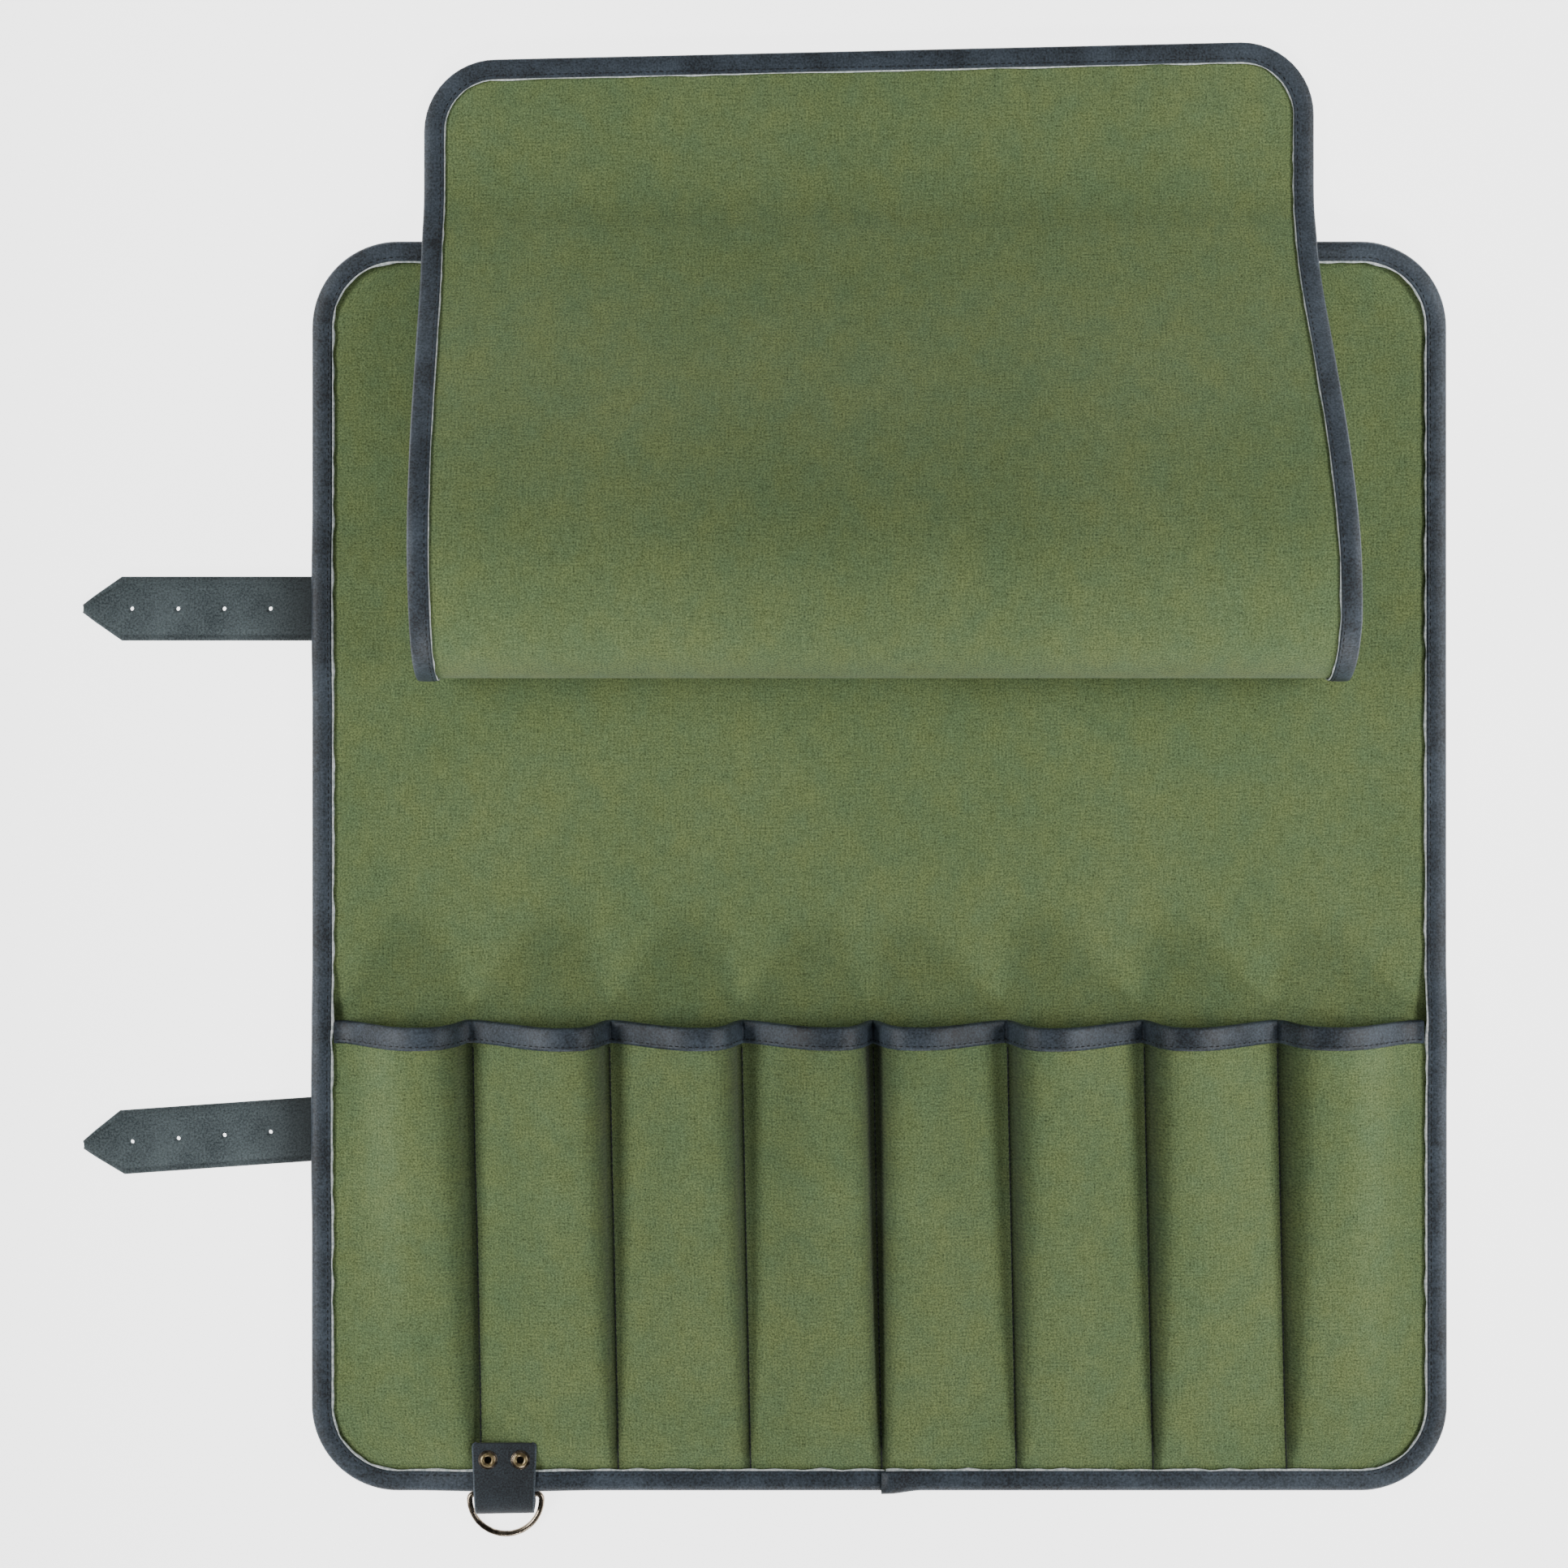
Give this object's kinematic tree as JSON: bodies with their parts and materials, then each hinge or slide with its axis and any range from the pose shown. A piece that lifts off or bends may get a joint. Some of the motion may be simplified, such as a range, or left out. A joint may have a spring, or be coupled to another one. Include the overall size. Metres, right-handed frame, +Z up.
{
  "type": "chef knife roll",
  "caption": "Open roll-up tool carrier of waxed canvas: pocketed panel, folded-back cover flap, leather binding, pointed closing straps and a hanging ring.",
  "frame": {"origin": "middle of the panel's flat underside, where it rests on the table", "axes": "+Z up from the table; +Y towards the panel edge that carries the flap; +X to the right, away from the straps"},
  "size_m": [0.5988, 0.6566, 0.0618],
  "materials": {
    "waxed_canvas": "waxed, matt, light olive green",
    "binding_leather": "dark blue-black, low sheen",
    "strap_leather": "dark slate suede",
    "antique_brass": "darkened brass"
  },
  "bodies": {
    "roll": {"panel": "waxed_canvas", "panel_binding": "binding_leather", "pocket_sheet": "waxed_canvas", "pocket_binding": "binding_leather", "flap": "waxed_canvas", "flap_binding": "binding_leather", "strap_upper": "strap_leather", "strap_lower": "strap_leather", "buckle_upper": "antique_brass", "buckle_lower": "antique_brass", "ring_tab": "strap_leather", "eyelet_left": "antique_brass", "eyelet_right": "antique_brass"},
    "ring": {"d_ring": "antique_brass"}
  },
  "joints": [
    {"name": "ring_swing", "type": "hinge", "parent": "roll", "child": "ring", "pos_m": [-0.164, -0.2756, 0.0029], "axis": [-1, 0, 0], "range_deg": [0, 95]}
  ]
}
